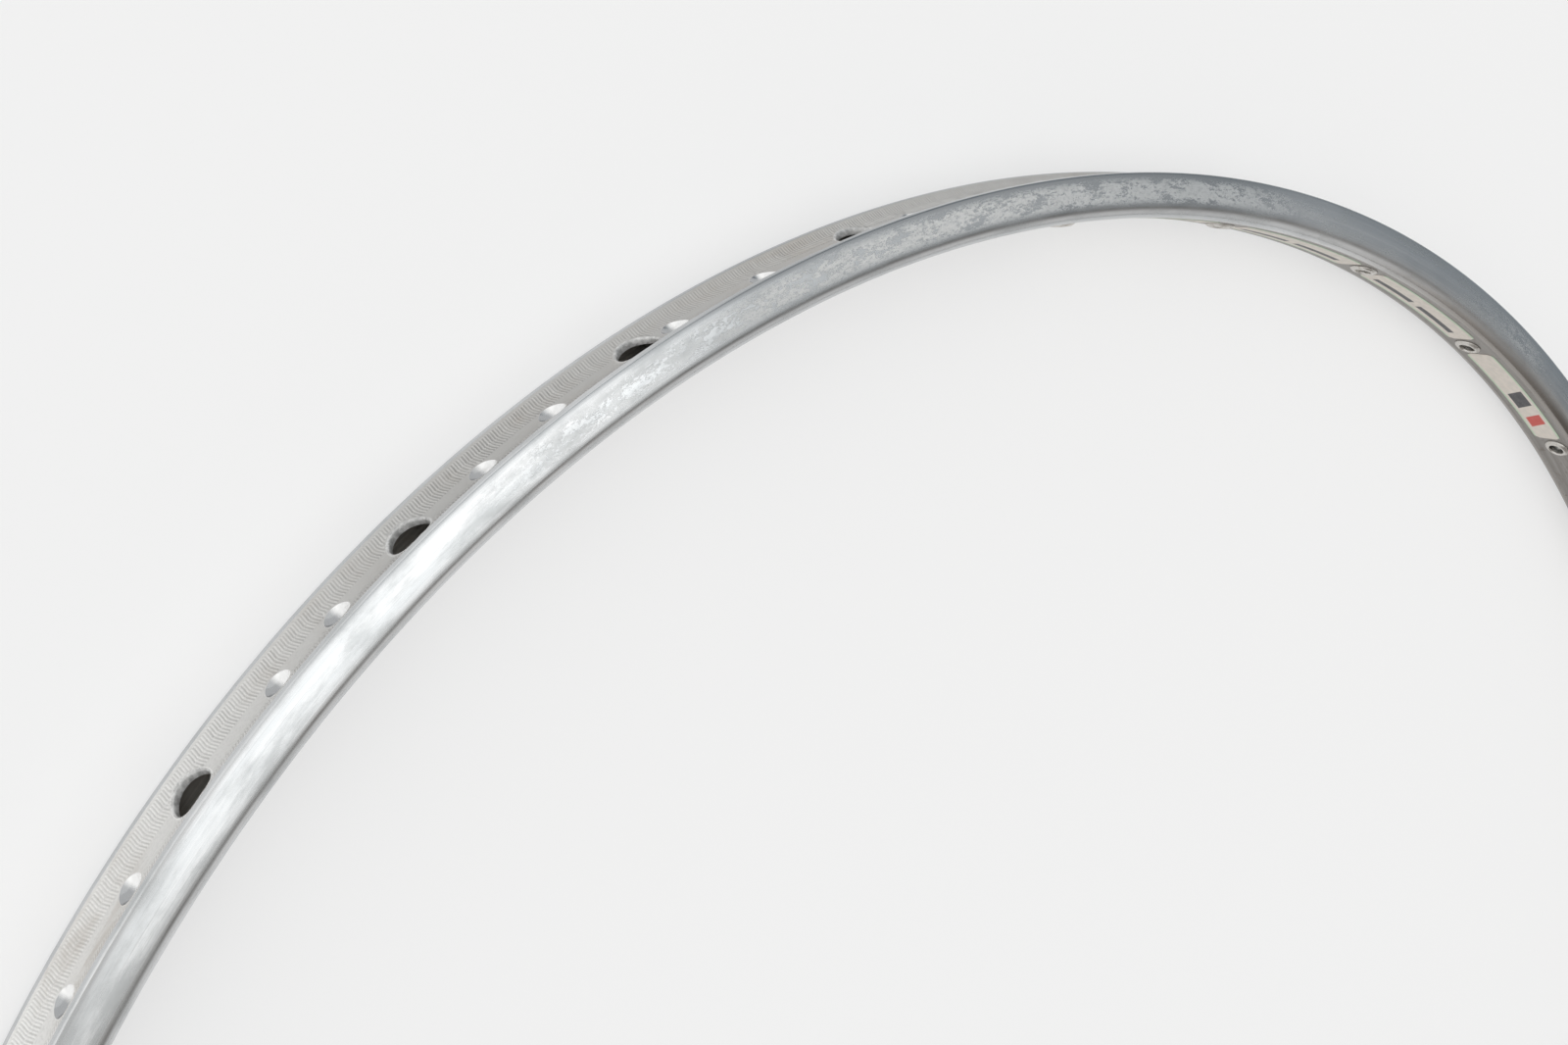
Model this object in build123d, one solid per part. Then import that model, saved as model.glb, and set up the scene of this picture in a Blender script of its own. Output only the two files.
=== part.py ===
from build123d import *

import os
from math import cos, degrees, radians, sin

# Tubular (sew-up) bicycle rim, 28 inch, 32 holes, bare.
# The hoop lies flat: its axis is +Z, its mid-plane is Z = 0 and the wheel centre is the origin.
# The valve hole is on +X and the butt joint of the hoop is opposite it, on -X.

# Overall sizes, millimetres
rim_outer_dia = 634.0  # across the tips of the lips
rim_width = 20.0  # across the side walls at their widest
rim_depth = 11.0  # from the lip tips to the hub-side face

# Section of the extrusion
side_bulge = 0.6  # how far each side wall swells past its lip
corner_radius = 3.4  # where a side wall turns into the hub-side wall
lip_thickness = 1.5  # across the tip of each lip before it is rounded
lip_rounding = 0.55
bed_depth = 2.3  # the concave tyre bed lies this far below the lip tips
bed_wall = 1.3
side_wall = 1.1
spoke_wall = 1.6  # hub-side wall, which carries the spokes
cavity_chamfer = 1.6  # thickens the two corners beside the hub-side wall

# Holes
spoke_count = 32
access_hole_dia = 9.5  # lets a nipple through the tyre bed
spoke_stagger = 1.0  # spoke holes lie alternately this far above and below the mid-plane
valve_hole_dia = 6.5
valve_seat_dia = 8.4  # wider hole in the bed for the foot of the valve

# Eyelets
eyelet_bore_dia = 4.4
eyelet_wall = 0.35
eyelet_flange_dia = 7.6
eyelet_flange_height = 0.9
eyelet_flare = 0.35  # the clinched end is wider than the barrel by this much all round
eyelet_flare_length = 0.6
eyelet_clearance = 0.05  # between an eyelet and the wall that it grips

# Butt joint
butt_gap = 0.1  # between the two ends of the rolled extrusion
sleeve_wall = 1.2
sleeve_clearance = 0.1  # between the sleeve and the inside of the section
sleeve_end_gap = 4.1  # along the rim, from each end of the sleeve to the eyelet beyond it

# Where the valve hole lies, degrees from +X towards +Y
valve_angle = 0.0

# Worked out from the sizes above
lip_radius = rim_outer_dia / 2
hub_face_radius = lip_radius - rim_depth
bed_radius = lip_radius - bed_depth
mid_cavity_radius = (hub_face_radius + spoke_wall + bed_radius - bed_wall) / 2
spoke_pitch = 360 / spoke_count
joint_angle = valve_angle + spoke_count // 2 * spoke_pitch  # midway between two spoke holes
eyelet_barrel_dia = eyelet_bore_dia + 2 * eyelet_wall
eyelet_flared_dia = eyelet_barrel_dia + 2 * eyelet_flare
spoke_hole_dia = eyelet_barrel_dia + 2 * eyelet_clearance
spoke_spacing = radians(spoke_pitch) * hub_face_radius  # along the hub-side face
sleeve_length = spoke_spacing - eyelet_flared_dia - 2 * sleeve_end_gap
same_radius = 0.001  # section corners within this of a radius lie on it


def side_lens(wall):
    """Region between the two bulged side walls, taken in by a wall thickness."""
    half_depth = rim_depth / 2
    arc_radius = (half_depth**2 + side_bulge**2) / (2 * side_bulge)
    arc_centre = arc_radius - rim_width / 2
    disc = Circle(arc_radius - wall)
    mid_radius = lip_radius - half_depth
    return (Pos(mid_radius, -arc_centre) * disc) & (Pos(mid_radius, arc_centre) * disc)


def bed_disc(wall):
    """Disc whose edge is the concave tyre bed, or with a wall the under side of the bed."""
    half_seat = rim_width / 2 - side_bulge - lip_thickness
    arc_radius = (half_seat**2 + bed_depth**2) / (2 * bed_depth)
    return Pos(bed_radius + arc_radius, 0) * Circle(arc_radius + wall)


def band(inner_radius, outer_radius):
    """Rectangle between two radii that is wider than the rim."""
    middle = (inner_radius + outer_radius) / 2
    return Pos(middle, 0) * Rectangle(outer_radius - inner_radius, 2 * rim_width)


def corners_at(section, radius):
    return [corner for corner in section.vertices() if abs(corner.X - radius) < same_radius]


def outer_section():
    """Outline of the extrusion: radius along X, distance from the mid-plane along Y."""
    section = side_lens(0) & band(hub_face_radius, lip_radius)
    section = section - bed_disc(0)
    section = fillet(corners_at(section, lip_radius), lip_rounding)
    return fillet(corners_at(section, hub_face_radius), corner_radius)


def cavity_section(inset):
    """Hollow of the extrusion, or the same outline taken in all round by an inset."""
    floor_radius = hub_face_radius + spoke_wall + inset
    section = side_lens(side_wall + inset) & band(floor_radius, lip_radius)
    section = section - bed_disc(bed_wall + inset)
    chamfer_length = cavity_chamfer - inset * (2 - 2**0.5)
    return chamfer(corners_at(section, floor_radius), chamfer_length)


def ring_of(section, start_angle, arc):
    """Turn a section about the wheel axis from a start angle through an arc, in degrees."""
    return revolve(Plane.XZ * section, Axis.Z, arc).rotate(Axis.Z, start_angle)


def on_spoke_line(angle, radius, height=0.0):
    """Place on a spoke line, with local Z towards the hub."""
    towards_hub = (-cos(radians(angle)), -sin(radians(angle)), 0)
    spot = (radius * cos(radians(angle)), radius * sin(radians(angle)), height)
    return Plane(origin=spot, x_dir=(0, 0, 1), z_dir=towards_hub).location


def drill(angle, diameter, inner_radius, outer_radius, height=0.0):
    """Round cutter along a spoke line between two radii."""
    middle = on_spoke_line(angle, (inner_radius + outer_radius) / 2, height)
    return middle * Cylinder(diameter / 2, outer_radius - inner_radius)


def bed_drill(angle, diameter):
    return drill(angle, diameter, mid_cavity_radius, lip_radius)


def hub_wall_drill(angle, diameter, height=0.0):
    return drill(angle, diameter, hub_face_radius - spoke_wall, mid_cavity_radius, height)


def spoke_angle(index):
    """The first and last spoke holes straddle the valve hole."""
    return valve_angle + (index + 0.5) * spoke_pitch


def spoke_height(index):
    return spoke_stagger if index % 2 == 0 else -spoke_stagger


def rim_hoop():
    """Hollow extrusion rolled into a hoop, its two ends a hair apart, then drilled."""
    gap_angle = degrees(butt_gap / lip_radius)
    section = outer_section() - cavity_section(0)
    hoop = ring_of(section, joint_angle + gap_angle / 2, 360 - gap_angle)
    drills = [bed_drill(valve_angle, valve_seat_dia), hub_wall_drill(valve_angle, valve_hole_dia)]
    for index in range(spoke_count):
        drills.append(bed_drill(spoke_angle(index), access_hole_dia))
        drills.append(hub_wall_drill(spoke_angle(index), spoke_hole_dia, spoke_height(index)))
    return hoop - drills


def joint_sleeve():
    """Short hollow sleeve that fills the section behind the butt joint."""
    section = cavity_section(sleeve_clearance) - cavity_section(sleeve_clearance + sleeve_wall)
    arc = degrees(sleeve_length / hub_face_radius)
    return ring_of(section, joint_angle - arc / 2, arc)


def eyelet():
    """Flanged eyelet on local Z: its flange on the hub side, its clinched end in the hollow."""
    bore = eyelet_bore_dia / 2
    barrel = eyelet_barrel_dia / 2
    seat = eyelet_clearance
    grip = spoke_wall + eyelet_clearance
    clinch = grip + eyelet_flare_length
    profile = Polyline(
        (bore, seat + eyelet_flange_height),
        (eyelet_flange_dia / 2, seat),
        (barrel, seat),
        (barrel, -grip),
        (eyelet_flared_dia / 2, -clinch),
        (bore, -clinch),
        close=True,
    )
    return revolve(Plane.XZ * make_face(profile), Axis.Z)


os.makedirs("parts", exist_ok=True)
export_step(rim_hoop(), "parts/rim_hoop.step")
export_step(joint_sleeve(), "parts/joint_sleeve.step")
plain_eyelet = eyelet()
for index in range(spoke_count):
    seat = on_spoke_line(spoke_angle(index), hub_face_radius, spoke_height(index))
    export_step(seat * plain_eyelet, f"parts/eyelet_{index + 1:02d}.step")
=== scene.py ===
from collections import namedtuple
from math import asin, atan2, cos, pi, radians, sin, sqrt

import bmesh
import bpy
import numpy as np
from mathutils import Matrix, Vector
from mathutils.geometry import delaunay_2d_cdt


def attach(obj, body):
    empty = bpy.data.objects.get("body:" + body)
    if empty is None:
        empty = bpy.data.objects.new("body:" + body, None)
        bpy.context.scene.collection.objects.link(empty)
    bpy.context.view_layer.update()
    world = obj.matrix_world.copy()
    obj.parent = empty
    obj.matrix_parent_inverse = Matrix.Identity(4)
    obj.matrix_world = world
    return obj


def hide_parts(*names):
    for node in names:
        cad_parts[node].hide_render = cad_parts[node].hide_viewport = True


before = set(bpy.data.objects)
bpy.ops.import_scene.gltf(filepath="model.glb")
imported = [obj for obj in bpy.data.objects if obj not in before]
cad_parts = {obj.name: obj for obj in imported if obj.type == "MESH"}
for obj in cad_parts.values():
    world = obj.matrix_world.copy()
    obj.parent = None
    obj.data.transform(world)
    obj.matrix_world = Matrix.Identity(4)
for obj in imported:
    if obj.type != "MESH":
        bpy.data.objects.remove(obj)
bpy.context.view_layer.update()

MM = 0.001

# Section of the rim, the same sizes as the solids
lip_radius = 317.0
rim_width = 20.0
rim_depth = 11.0
side_bulge = 0.6
corner_radius = 3.4
lip_thickness = 1.5
lip_rounding = 0.55
bed_depth = 2.3
bed_wall = 1.3
side_wall = 1.1
spoke_wall = 1.6
cavity_chamfer = 1.6

# Holes and eyelets
spoke_count = 32
access_hole_radius = 4.75
spoke_hole_radius = 2.6
spoke_stagger = 1.0
valve_hole_radius = 3.25
valve_seat_radius = 4.2
butt_gap = 0.1
eyelet_bore_radius = 2.2
eyelet_barrel_radius = 2.55
eyelet_flange_radius = 3.8
eyelet_flange_height = 0.9
eyelet_flare = 0.35
eyelet_flare_length = 0.6
eyelet_clearance = 0.05
eyelet_turns = 40  # copies of its outline round its axis

# Fineness of the meshes
tooth_columns = 176  # ridges and valleys from one spoke line to the next
coarse_step = 4  # plain surfaces use every fourth column
ring_corners = 48  # points round each hole and mark
point_margin = 0.12  # points of the serrations stay this far from a hole or mark
edge_margin = 0.03  # and the lines between them this far
finish_margin = 0.2  # a hole's or mark's finish starts this far inside its outer circle
border_margin = 1e-4
same_place = 1e-7
weld_distance = 2e-6  # metres
quarters = 4  # the hoop is built in four closed pieces

# Where the wear starts in the texture, across the rim
upper_offset = 20
lower_offset = 60
hole_offset = 2

# Rolled serrations of the tyre bed: two rows on each side of the plain middle band
tooth_half_height = 0.10
tooth_slant = 0.55
tooth_scatter = 0.018
row_apex = 4.85
row_reach = 2.45
seam_fade = 8  # columns over which the serrations die away at the butt joint
# Distance from the mid-plane and share of the full height
rows = ((2.4, 0), (2.6, 1), (3.6, 1), (4.65, 1), (4.85, 0), (5.05, 1), (6.1, 1), (7.1, 1), (7.3, 0))

# Burr round a drilled hole in the bed: distance from the hole's edge and height above the bed
burr = ((0.75, 0.0), (0.42, 0.17), (0.15, 0.05), (0.0, -0.20))

# Marks pressed into the middle band, as shares of the way from one spoke line to the next
dimple_radius = 3.1
dimple_depth = 1.3
dimple_height = 0.7  # the marks sit this far towards the upper lip
dimple_rim = ((0.3, 0.0), (0.05, 0.035))  # distance beyond a mark's edge, height above the bed
dimple_bowl = (0.93, 0.8, 0.6, 0.35)  # circles of a mark, as shares of its radius
bowl_bottom = 1.04  # depth of a mark's middle, as a share of its innermost circle's
measured_dimples = {
    10: (0.35, 0.74),
    11: (0.444, 0.842),
    12: (0.382, 0.685),
    13: (0.33, 0.60),
    14: (0.318, 0.676),
}
valve_dimples = (0.22, 0.70)
seam_dimples = (0.27, 0.73)
other_dimples = ((0.30, 0.36), (0.64, 0.71))  # least and most

# Gaps between spoke lines that hold the valve hole and the butt joint
valve_gap = spoke_count - 1
seam_gap = spoke_count // 2 - 1
plain_cell_end = 92  # columns from a spoke line to where the next cell starts
valve_cell_end = 140

# Worked out
hub_radius = lip_radius - rim_depth
bed_radius = lip_radius - bed_depth
mid_radius = lip_radius - rim_depth / 2
side_arc = ((rim_depth / 2) ** 2 + side_bulge**2) / (2 * side_bulge)
side_centre = side_arc - rim_width / 2
half_seat = rim_width / 2 - side_bulge - lip_thickness
bed_arc = (half_seat**2 + bed_depth**2) / (2 * bed_depth)
bed_centre = bed_radius + bed_arc
floor_radius = hub_radius + spoke_wall
column_step = 2 * pi * lip_radius / (spoke_count * tooth_columns)
all_columns = spoke_count * tooth_columns
cells_in_quarter = spoke_count // quarters
seam_column = all_columns // 2

rng = np.random.default_rng(28)
tooth_noise = rng.uniform(-1, 1, all_columns + 1)
tooth_shift = rng.normal(0, tooth_scatter, all_columns + 1)

Cell = namedtuple("Cell", "index centre first last")
Ring = namedtuple("Ring", "column height steps open")


def placed(name, data):
    """New object in the scene."""
    item = bpy.data.objects.new(name, data)
    bpy.context.scene.collection.objects.link(item)
    return item


# Section curves

def bed_at(z):
    """Radius of the tyre bed at a distance from the mid-plane."""
    return bed_centre - np.sqrt(bed_arc**2 - z**2)


def roof_at(z):
    """Radius of the hollow's outer wall."""
    return bed_centre - np.sqrt((bed_arc + bed_wall) ** 2 - z**2)


def hub_at(z):
    return hub_radius + 0 * z


def floor_at(z):
    return floor_radius + 0 * z


def arc_points(centre, radius, start, end, count):
    """Points (radius, z) along an arc of the section."""
    angles = np.linspace(start, end, count)
    return [(centre[0] + radius * cos(turn), centre[1] + radius * sin(turn)) for turn in angles]


def outer_profile():
    """Upper half of the outside, from the edge of the bed over the lip and side to the hub face."""
    lip_level = lip_radius - lip_rounding
    inner = (lip_level, sqrt((bed_arc + lip_rounding) ** 2 - (bed_centre - lip_level) ** 2))
    lip_rise = sqrt((side_arc - lip_rounding) ** 2 - (lip_level - mid_radius) ** 2)
    outer = (lip_level, lip_rise - side_centre)
    corner_level = hub_radius + corner_radius
    corner_rise = sqrt((side_arc - corner_radius) ** 2 - (corner_level - mid_radius) ** 2)
    corner = (corner_level, corner_rise - side_centre)
    lip_turn = atan2(outer[1] + side_centre, outer[0] - mid_radius)
    corner_turn = atan2(corner[1] + side_centre, corner[0] - mid_radius)
    points = arc_points(inner, lip_rounding, atan2(-inner[1], bed_centre - inner[0]), 0, 5)
    points += arc_points(outer, lip_rounding, 0, lip_turn, 6)
    points += arc_points((mid_radius, -side_centre), side_arc, lip_turn, corner_turn, 10)[1:]
    points += arc_points(corner, corner_radius, corner_turn, pi, 9)[1:]
    return points


def cavity_profile():
    """Upper half of the hollow's side, from its outer wall to the floor."""
    inner_arc = side_arc - side_wall
    low, high = 4.0, half_seat + 2  # halved down to where the outer wall and the side meet
    for _ in range(50):
        z = (low + high) / 2
        side_z = sqrt(inner_arc**2 - (roof_at(z) - mid_radius) ** 2) - side_centre
        low, high = (z, high) if z < side_z else (low, z)
    start = atan2(z + side_centre, roof_at(z) - mid_radius)
    corner_z = sqrt(inner_arc**2 - (floor_radius - mid_radius) ** 2) - side_centre
    chamfer_level = floor_radius + cavity_chamfer
    end = atan2(sqrt(inner_arc**2 - (chamfer_level - mid_radius) ** 2), chamfer_level - mid_radius)
    points = arc_points((mid_radius, -side_centre), inner_arc, start, end, 6)
    return points + [(floor_radius, corner_z - cavity_chamfer)]


outside = outer_profile()
hollow = cavity_profile()
bed_edge = outside[0][1]
hub_edge = outside[-1][1]
roof_edge = hollow[0][1]
floor_edge = hollow[-1][1]
middle_lines = (-1.3, 0.0, 1.3)
roof_lines = np.linspace(-roof_edge, roof_edge, 11)
hub_lines = np.linspace(-hub_edge, hub_edge, 7)
floor_lines = np.linspace(-floor_edge, floor_edge, 7)


# Cells of the hoop: one for each spoke line

def cell_end(index):
    """Columns from a spoke line to the end of its cell, clear of pressed marks and holes."""
    if index == valve_gap:
        return valve_cell_end
    if index == seam_gap:
        return tooth_columns // 2
    return plain_cell_end


def cell_at(index):
    centre = index * tooth_columns + tooth_columns // 2
    before = (index - 1) % spoke_count
    return Cell(index, centre, centre - tooth_columns + cell_end(before), centre + cell_end(index))


def along(column, cell):
    """Distance along the lip from the cell's spoke line; the seam's two ends stand a hair apart."""
    place = (column - cell.centre) * column_step
    if column == seam_column:
        place += butt_gap / 2 if cell.index > seam_gap else -butt_gap / 2
    return place


def spot(cell, place, radius, z):
    """Point in metres at a distance along the lip from the cell's spoke line."""
    angle = cell.centre * column_step / lip_radius + place / lip_radius
    return (radius * cos(angle) * MM, radius * sin(angle) * MM, z * MM)


def texture_spot(cell, place, across):
    """Texture place: metres along the rim, counted from the valve both ways, and across it."""
    length = cell.centre * column_step + place
    if cell.index > seam_gap:
        length -= 2 * pi * lip_radius
    return (length * MM, across * MM)


class Shell:
    """Patches of one quarter of the hoop, before they are welded."""

    def __init__(self):
        self.points = []
        self.places = []
        self.lifts = []
        self.faces = []
        self.finishes = []

    def add(self, points, places, faces, finish, lifts=None):
        start = len(self.points)
        self.points.extend(points)
        self.places.extend(places)
        self.lifts.extend([0.0] * len(points) if lifts is None else lifts)
        self.faces.extend([tuple(start + corner for corner in face) for face in faces])
        self.finishes.extend([finish] * len(faces) if isinstance(finish, str) else finish)


def triangulate(flat_points, edges, with_holes=False):
    """Triangles that keep the given edges, as indices into the given points."""
    vectors = [Vector((u, v)) for u, v in flat_points]
    result = delaunay_2d_cdt(vectors, edges, [], 2 if with_holes else 0, same_place)
    sources = [source[0] if source else -1 for source in result[3]]
    triangles = [[sources[corner] for corner in triangle] for triangle in result[2]]
    return [triangle for triangle in triangles if min(triangle) >= 0]


def ring_centre(ring, cell):
    return np.array([(ring.column - cell.centre) * column_step, ring.height])


def uneven(lift, turn, ring):
    """Height of a burr, which varies round its hole."""
    if not ring.open or lift <= 0:
        return lift
    return lift * (0.7 + 0.2 * sin(4 * turn + ring.column) + 0.1 * sin(11 * turn + 2 * ring.column))


def ring_points(ring, cell, surface_at):
    """Circles of a round hole or pressed mark, as rows of (place, z, lift)."""
    place = (ring.column - cell.centre) * column_step
    circles = []
    for radius, lift in ring.steps:
        circle = []
        for turn in np.linspace(0, 2 * pi, ring_corners, endpoint=False):
            z = ring.height + radius * sin(turn)
            rise = uneven(lift, turn, ring)
            level = float(surface_at(z)) + rise
            circle.append((place + lip_radius * asin(radius * cos(turn) / level), z, rise))
        circles.append(circle)
    return circles


def far_from(rings, cell, starts, ends, margin):
    """Which segments pass clear of every ring."""
    clear = np.ones(len(starts), bool)
    step = ends - starts
    length_squared = np.maximum(np.einsum("ij,ij->i", step, step), 1e-12)
    for ring in rings:
        centre = ring_centre(ring, cell)
        share = np.einsum("ij,ij->i", centre - starts, step) / length_squared
        nearest = starts + np.clip(share, 0, 1)[:, None] * step
        clear &= np.hypot(*(nearest - centre).T) > ring.steps[0][0] + margin
    return clear


def joined(first, second):
    """Neighbouring points of a fine column are held together where both lie in the serrations."""
    start, end = abs(first[1]), abs(second[1])
    inner, outer = rows[0][0] - 1e-6, bed_edge - 1e-6
    return first[1] * second[1] > 0 and inner <= start < outer and inner <= end < outer


def grid_edges(cell, columns):
    """Pairs of neighbouring points that stay joined: the cell's two borders and the serrations."""
    pairs = []
    index = 0
    for column, line in columns:
        border = column in (cell.first, cell.last)
        for row in range(len(line) - 1):
            if border or joined(line[row], line[row + 1]):
                pairs.append((index + row, index + row + 1))
        index += len(line)
    return np.array(pairs)


def sheet_points(cell, surface_at, columns, rings):
    """Points and fixed edges of a sheet, and which points lie on the edge of each open hole."""
    flat = np.array([point for column, line in columns for point in line])
    keep = far_from(rings, cell, flat[:, :2], flat[:, :2], point_margin)
    new_index = np.cumsum(keep) - 1
    points = flat[keep].tolist()
    pairs = np.array([pair for pair in grid_edges(cell, columns) if keep[pair[0]] and keep[pair[1]]])
    clear = far_from(rings, cell, flat[pairs[:, 0], :2], flat[pairs[:, 1], :2], edge_margin)
    edges = [tuple(new_index[pair].tolist()) for pair in pairs[clear]]
    hole_edges = []
    for ring in rings:
        for circle in ring_points(ring, cell, surface_at):
            start, count = len(points), len(circle)
            points.extend(circle)
            edges.extend([(start + step, start + (step + 1) % count) for step in range(count)])
        if ring.open:
            hole_edges.append(range(start, start + count))
        else:
            points.append((*ring_centre(ring, cell), ring.steps[-1][1] * bowl_bottom))
    return np.array(points), edges, hole_edges


def in_sheet(points, triangles, columns, hole_edges):
    """Which triangles lie between the sheet's two borders and outside its open holes."""
    middles = points[triangles, :2].mean(axis=1)
    wanted = np.ones(len(triangles), bool)
    for side, line in ((1, columns[0][1]), (-1, columns[-1][1])):
        border = np.array(line)
        beyond = middles[:, 0] - np.interp(middles[:, 1], border[:, 1], border[:, 0])
        wanted &= side * beyond > border_margin
    for hole_edge in hole_edges:
        wanted &= ~np.isin(triangles, hole_edge).all(axis=1)
    return wanted


def sheet(shell, cell, surface_at, columns, rings, finish):
    """Surface over columns of (place, z, lift) points, with round holes and pressed marks in it."""
    points, edges, hole_edges = sheet_points(cell, surface_at, columns, rings)
    triangles = np.array(triangulate(points[:, :2], edges))
    wanted = in_sheet(points, triangles, columns, hole_edges)
    middles = points[triangles, :2].mean(axis=1)
    finishes = np.full(len(triangles), finish, dtype=object)
    for ring in rings:
        if len(ring.steps) > 1:
            near = np.hypot(*(middles - ring_centre(ring, cell)).T) < ring.steps[0][0] - finish_margin
            finishes[near] = "cut" if ring.open else "pressed"
    spots = [spot(cell, place, float(surface_at(z)) + lift, z) for place, z, lift in points]
    places = [texture_spot(cell, place, z) for place, z, lift in points]
    lifts = points[:, 2].tolist()
    shell.add(spots, places, triangles[wanted].tolist(), finishes[wanted].tolist(), lifts)


def wear_at(number):
    """Share of the serrations' height that is left, column by column."""
    return 0.8 + 0.2 * sin(number * 0.021) * sin(number * 0.0047 + 1)


def bed_column(column, cell):
    """One column of the tyre bed, from its lower edge to its upper edge."""
    place = along(column, cell)
    number = column % all_columns
    straight = min(1.0, abs(column - seam_column) / seam_fade)
    height = tooth_half_height * wear_at(number) * (1 + 0.3 * tooth_noise[number])
    points = []
    for z, share in rows:
        for side in (-1, 1):
            slant = tooth_slant * (1 - abs(z - row_apex) / row_reach) * straight
            shift = slant + tooth_shift[number] * straight
            ridge = 1 if column % 2 == 0 else -1
            points.append((place + shift, side * z, share * ridge * height * straight))
    if column % coarse_step == 0:
        points += [(place, z, 0.0) for z in (-bed_edge, *middle_lines, bed_edge)]
    return column, sorted(points, key=lambda point: point[1])


def plain_columns(cell, lines):
    """Every fourth column of a cell, with a point on each of the given lines."""
    columns = range(cell.first, cell.last + 1, coarse_step)
    return [(column, [(along(column, cell), z, 0.0) for z in lines]) for column in columns]


def dimple_columns():
    """Where the marks are pressed, as column numbers round the rim."""
    columns = []
    for gap in range(spoke_count):
        shares = [rng.uniform(least, most) for least, most in other_dimples]
        if gap == valve_gap:
            shares = valve_dimples
        if gap == seam_gap:
            shares = seam_dimples
        shares = measured_dimples.get(gap, shares)
        columns += [(gap + 0.5 + share) * tooth_columns for share in shares]
    return columns


dimples = dimple_columns()


def plain_hole(column, radius, height=0.0):
    return Ring(column, height, [(radius, 0.0)], True)


def burred_hole(column, radius):
    return Ring(column, 0.0, [(radius + wide, lift) for wide, lift in burr], True)


def spoke_height(index):
    return spoke_stagger if index % 2 == 0 else -spoke_stagger


def rings_of(cell):
    """Holes and marks of a cell: in the bed, in the hollow's outer wall and in the hub wall."""
    bed = [burred_hole(cell.centre, access_hole_radius)]
    roof = [plain_hole(cell.centre, access_hole_radius)]
    hub = [plain_hole(cell.centre, spoke_hole_radius, spoke_height(cell.index))]
    if cell.index == valve_gap:
        bed.append(burred_hole(all_columns, valve_seat_radius))
        roof.append(plain_hole(all_columns, valve_seat_radius))
        hub.append(plain_hole(all_columns, valve_hole_radius))
    bowl = [(dimple_radius + wide, lift) for wide, lift in dimple_rim]
    bowl += [(dimple_radius * share, -dimple_depth * (1 - share**2)) for share in dimple_bowl]
    inside = [column for column in dimples if cell.first < column < cell.last]
    bed += [Ring(column, dimple_height, bowl, False) for column in inside]
    return bed, roof, hub


def hole_wall(shell, cell, ring, outer_at, inner_at, outer_lift):
    """Round wall of a drilled hole between two surfaces."""
    radius = ring.steps[-1][0]
    first = ring_points(ring._replace(steps=[(radius, outer_lift)]), cell, outer_at)[0]
    last = ring_points(ring._replace(steps=[(radius, 0.0)]), cell, inner_at)[0]
    spots = [spot(cell, place, float(outer_at(z)) + lift, z) for place, z, lift in first]
    spots += [spot(cell, place, float(inner_at(z)), z) for place, z, lift in last]
    places = [texture_spot(cell, place, z) for place, z, lift in first]
    places += [texture_spot(cell, place, z + hole_offset) for place, z, lift in last]
    count = len(first)
    steps = [(step, (step + 1) % count) for step in range(count)]
    faces = [(here, there, count + there, count + here) for here, there in steps]
    shell.add(spots, places, faces, "cut")


def strip(shell, cell, profile, finish):
    """Plain surface that follows a section profile, given as (radius, z) points."""
    columns = range(cell.first, cell.last + 1, coarse_step)
    steps = np.hypot(*np.diff(np.array(profile), axis=0).T)
    lengths = np.concatenate(([0.0], np.cumsum(steps)))
    offset = lower_offset if profile[0][1] < 0 else upper_offset
    spots, places = [], []
    for column in columns:
        place = along(column, cell)
        spots += [spot(cell, place, radius, z) for radius, z in profile]
        places += [texture_spot(cell, place, offset + length) for length in lengths]
    rows_here = len(profile)
    faces = []
    for column in range(len(columns) - 1):
        for row in range(rows_here - 1):
            corner = column * rows_here + row
            faces.append((corner, corner + rows_here, corner + rows_here + 1, corner + 1))
    shell.add(spots, places, faces, finish)


def lower(profile):
    return [(radius, -z) for radius, z in profile]


def end_cap(shell, cell, column):
    """Cut face of the section, which closes a quarter of the hoop."""
    bed = [(place, float(bed_at(z)) + lift, z) for place, z, lift in bed_column(column, cell)[1]]
    place = along(column, cell)
    outer = bed + [(place, radius, z) for radius, z in outside[1:]]
    outer += [(place, hub_radius, z) for z in hub_lines[::-1][1:]]
    outer += [(place, radius, z) for radius, z in lower(outside)[::-1][1:-1]]
    inner = [(place, float(roof_at(z)), z) for z in roof_lines]
    inner += [(place, radius, z) for radius, z in hollow[1:]]
    inner += [(place, floor_radius, z) for z in floor_lines[::-1][1:]]
    inner += [(place, radius, z) for radius, z in lower(hollow)[::-1][1:-1]]
    edges = [(step, (step + 1) % len(outer)) for step in range(len(outer))]
    start = len(outer)
    edges += [(start + step, start + (step + 1) % len(inner)) for step in range(len(inner))]
    points = outer + inner
    triangles = triangulate([(radius - mid_radius, z) for place, radius, z in points], edges, True)
    walls = [triangle for triangle in triangles if not in_hollow(points, triangle, start)]
    spots = [spot(cell, *point) for point in points]
    shell.add(spots, [(radius * MM, z * MM) for place, radius, z in points], walls, "cut")


def in_hollow(points, triangle, first_inner):
    """Whether a triangle of the section lies in the hollow, with all its corners on its outline."""
    radius, z = np.mean([points[corner][1:] for corner in triangle], axis=0)
    return min(triangle) >= first_inner and radius < roof_at(z)


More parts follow.
